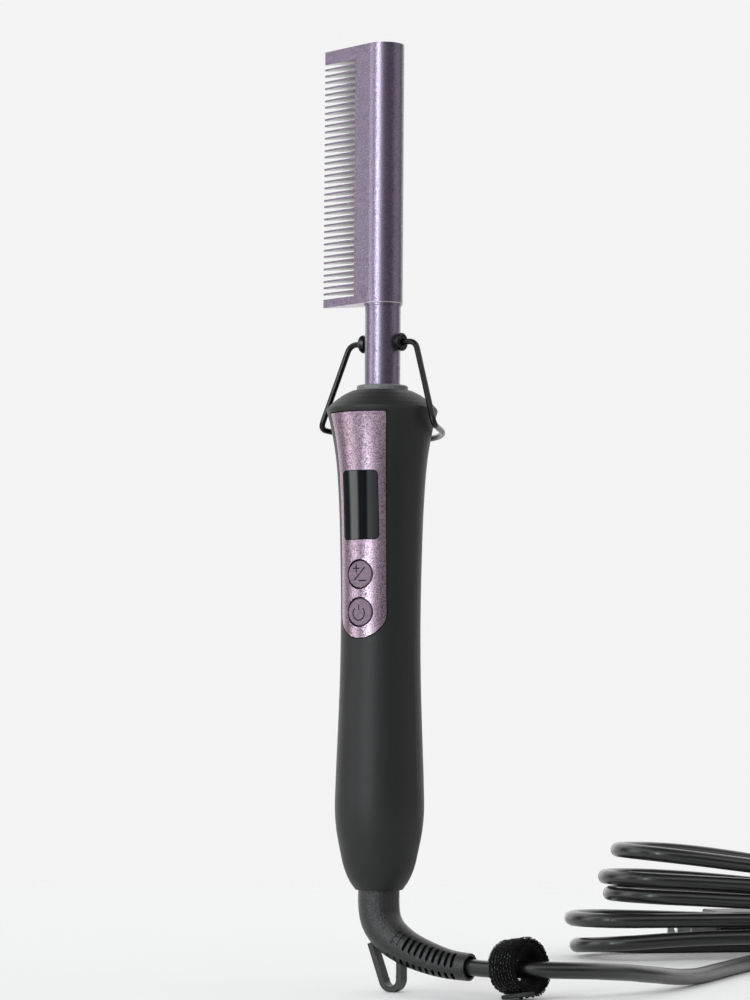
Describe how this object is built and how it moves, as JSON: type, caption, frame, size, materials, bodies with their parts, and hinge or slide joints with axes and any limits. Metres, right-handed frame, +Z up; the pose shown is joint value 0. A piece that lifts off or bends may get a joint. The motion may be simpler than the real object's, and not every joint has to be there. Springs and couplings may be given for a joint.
{
  "type": "hot comb",
  "caption": "Upright electric hot comb with a slotted heated comb, wire rest, soft-touch handle with display and buttons, slotted elbow strain relief, coiled cord and two-blade plug.",
  "frame": {"origin": "middle of the comb's footprint on the floor, without the cord, under the standing comb", "axes": "+Z up along the handle towards the comb head; the teeth point along -X; the control panel faces -Y; the elbow turns towards +X"},
  "size_m": [0.1212, 0.3014, 0.3162],
  "materials": {
    "comb_coating": "Purple pearl coating on aluminium",
    "neck_coating": "Purple pearl lacquer on steel",
    "collar_plastic": "Grey speckled heat-resistant plastic",
    "wire_black": "Black lacquered steel wire",
    "soft_touch": "Soft-touch coating, dark grey",
    "panel_lacquer": "Mauve metallic lacquer",
    "window_glass": "Dark clear window",
    "display_grey": "Display glass and frame",
    "board_green": "Glass-fibre board",
    "part_black": "Black moulded parts",
    "screw_steel": "Zinc-plated steel",
    "ceramic": "White ceramic",
    "aluminium_bare": "Bare aluminium",
    "sensor_glass": "Sensor bead",
    "lead_sleeve": "Insulated leads",
    "plunger_white": "Natural moulded plastic",
    "laminate": "Tan insulating laminate",
    "contact_brass": "Brass contacts and blades",
    "relief_rubber": "Fine-textured black moulding",
    "cord_vinyl": "Glossy black vinyl cord",
    "plug_vinyl": "Black moulded vinyl plug",
    "tie_fabric": "Black hook-and-loop fabric"
  },
  "bodies": {
    "handle": {"comb_head": "comb_coating", "heater_element": "ceramic", "heater_shoes": "aluminium_bare", "temperature_sensor": "sensor_glass", "heater_leads": "lead_sleeve", "sensor_leads": "lead_sleeve", "neck_tube": "neck_coating", "neck_collar": "collar_plastic", "pivot_bosses": "wire_black", "handle_shell": "soft_touch", "control_panel": "panel_lacquer", "display_window": "window_glass", "lcd_module": "display_grey", "circuit_board": "board_green", "board_parts": "part_black", "board_carrier": "part_black", "carrier_screws": "screw_steel", "tact_switches": "part_black", "contact_block": "laminate", "contact_springs": "contact_brass", "mains_leads": "lead_sleeve"},
    "stand": {"stand_wire": "wire_black"},
    "temperature_button": {"temperature_button": "panel_lacquer", "temperature_plunger": "plunger_white"},
    "power_button": {"power_button": "panel_lacquer", "power_plunger": "plunger_white"},
    "cord_swivel": {"strain_relief": "relief_rubber", "swivel_clip": "screw_steel", "swivel_contacts": "contact_brass", "cord_tube": "cord_vinyl", "cord_hank": "cord_vinyl", "cord_tail": "cord_vinyl", "plug_body": "plug_vinyl", "plug_blades": "contact_brass", "hook_loop_tie": "tie_fabric"}
  },
  "joints": [
    {"name": "stand_hinge", "type": "hinge", "parent": "handle", "child": "stand", "pos_m": [-0.0059, -0.0013, 0.2154], "axis": [1, 0, 0], "range_deg": [0, 125]},
    {"name": "temperature_button_press", "type": "slide", "parent": "handle", "child": "temperature_button", "axis": [0, 1, 0], "range_m": [0, 0.0005], "stiffness_N_per_m": 800},
    {"name": "power_button_press", "type": "slide", "parent": "handle", "child": "power_button", "axis": [0, 1, 0], "range_m": [0, 0.0005], "stiffness_N_per_m": 800},
    {"name": "cord_swivel_turn", "type": "hinge", "parent": "handle", "child": "cord_swivel", "pos_m": [-0.0059, -0.0013, 0.0334], "axis": [0, 0, 1], "continuous": true}
  ]
}
